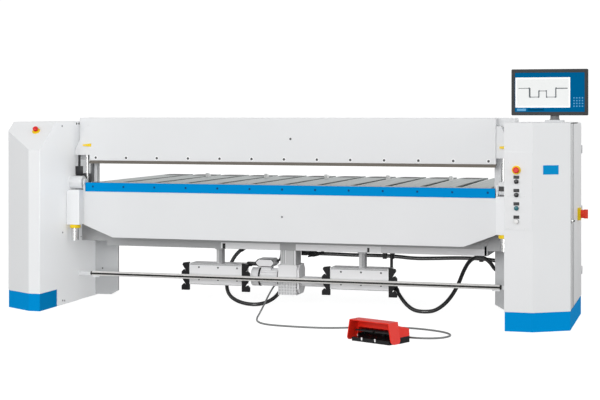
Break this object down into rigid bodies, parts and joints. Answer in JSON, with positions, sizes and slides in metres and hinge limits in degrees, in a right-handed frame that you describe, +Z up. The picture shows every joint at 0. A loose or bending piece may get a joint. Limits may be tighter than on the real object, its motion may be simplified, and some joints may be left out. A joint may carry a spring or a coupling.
{
  "type": "cnc folding machine",
  "caption": "Long sheet-metal folding machine with clamping beam, swinging folding beam, slatted table, control cabinet, touch monitor and foot switch.",
  "frame": {"origin": "floor level, under the middle of the machine's plan without the foot switch and its cable", "axes": "+X along the working length towards the control cabinet, +Y from the operator to the back, +Z up"},
  "size_m": [4.283, 2.9388, 1.767],
  "materials": {
    "housing_white": "fine satin powder coat",
    "machine_blue": "satin powder coat",
    "frame_grey": "satin paint on welded steel",
    "galvanised_plate": "zinc-plated sheet",
    "tool_steel": "ground steel",
    "drive_silver": "anodised and painted",
    "black_steel": "black paint",
    "button_red": "moulded",
    "button_black": "moulded",
    "black_plastic": "moulded, and corrugated conduit",
    "switch_yellow": "moulded",
    "cable_grey": "matt cable sheath"
  },
  "bodies": {
    "machine_frame": {"left_stand": "frame_grey", "right_stand": "frame_grey", "inner_panels": "housing_white", "left_housing": "housing_white", "plinths": "machine_blue", "left_stop_button": "button_red", "cabinet_front": "housing_white", "cabinet_rear_wall": "housing_white", "cabinet_inner_wall": "galvanised_plate", "cabinet_roof": "housing_white", "door_hinges": "tool_steel", "control_panel": "housing_white", "panel_stop_button": "button_red", "push_buttons": "button_black", "monitor_base": "frame_grey", "table_jaw": "tool_steel", "table_beam": "frame_grey", "table_slats": "galvanised_plate", "table_rear_frame": "frame_grey", "foot_bar": "black_steel", "pivot_bearings": "housing_white", "guide_blocks": "black_steel", "drive_posts": "frame_grey", "gearbox": "drive_silver", "drive_motor": "drive_silver", "drive_units": "drive_silver", "unit_end_caps": "black_plastic", "wiring_riser": "black_plastic", "legs": "frame_grey", "left_conduit": "black_plastic", "right_conduit": "black_plastic", "upper_conduit": "black_plastic", "motor_cable": "black_plastic", "cable_glands": "black_plastic", "conduit_holders": "black_plastic", "foot_switch_base": "button_black", "foot_switch_hood": "button_red", "foot_switch_cable": "cable_grey"},
    "clamping_beam": {"clamping_beam": "housing_white", "clamping_blade": "tool_steel", "end_brackets": "housing_white", "guide_rods": "tool_steel"},
    "folding_beam": {"folding_beam": "housing_white", "folding_rail": "machine_blue", "end_boxes": "housing_white", "setting_spindles": "tool_steel"},
    "back_gauge": {"gauge_beam": "frame_grey"},
    "cabinet_door": {"cabinet_door": "housing_white", "door_lock": "tool_steel", "main_switch_base": "switch_yellow"},
    "main_switch_knob": {"main_switch_knob": "button_red"},
    "monitor": {"monitor": "button_black"},
    "left_pedal": {"left_pedal": "button_black"},
    "right_pedal": {"right_pedal": "button_black"}
  },
  "joints": [
    {"name": "clamping_beam_lift", "type": "slide", "parent": "machine_frame", "child": "clamping_beam", "axis": [0, 0, 1], "range_m": [-0.14, 0]},
    {"name": "folding_beam_swing", "type": "hinge", "parent": "machine_frame", "child": "folding_beam", "pos_m": [-0.0925, -0.55, 0.93], "axis": [-1, 0, 0], "range_deg": [0, 135]},
    {"name": "back_gauge_travel", "type": "slide", "parent": "machine_frame", "child": "back_gauge", "axis": [0, -1, 0], "range_m": [0, 0.95]},
    {"name": "cabinet_door_hinge", "type": "hinge", "parent": "machine_frame", "child": "cabinet_door", "pos_m": [2.0445, -0.06, 0.76], "axis": [0, 0, 1], "range_deg": [0, 110]},
    {"name": "main_switch_turn", "type": "hinge", "parent": "cabinet_door", "child": "main_switch_knob", "pos_m": [2.0625, -0.35, 0.748], "axis": [1, 0, 0], "range_deg": [0, 90]},
    {"name": "monitor_swivel", "type": "hinge", "parent": "machine_frame", "child": "monitor", "pos_m": [1.9105, -0.65, 1.43], "axis": [0, 0, 1], "range_deg": [-40, 40]},
    {"name": "left_pedal_press", "type": "hinge", "parent": "machine_frame", "child": "left_pedal", "pos_m": [0.85553, -1.60744, 0.052], "axis": [0.9135, -0.4067, 0], "range_deg": [0, 8], "stiffness_Nm_per_rad": 6, "springref_deg": -5.73},
    {"name": "right_pedal_press", "type": "hinge", "parent": "machine_frame", "child": "right_pedal", "pos_m": [0.99621, -1.67007, 0.052], "axis": [0.9135, -0.4067, 0], "range_deg": [0, 8], "stiffness_Nm_per_rad": 6, "springref_deg": -5.73}
  ]
}
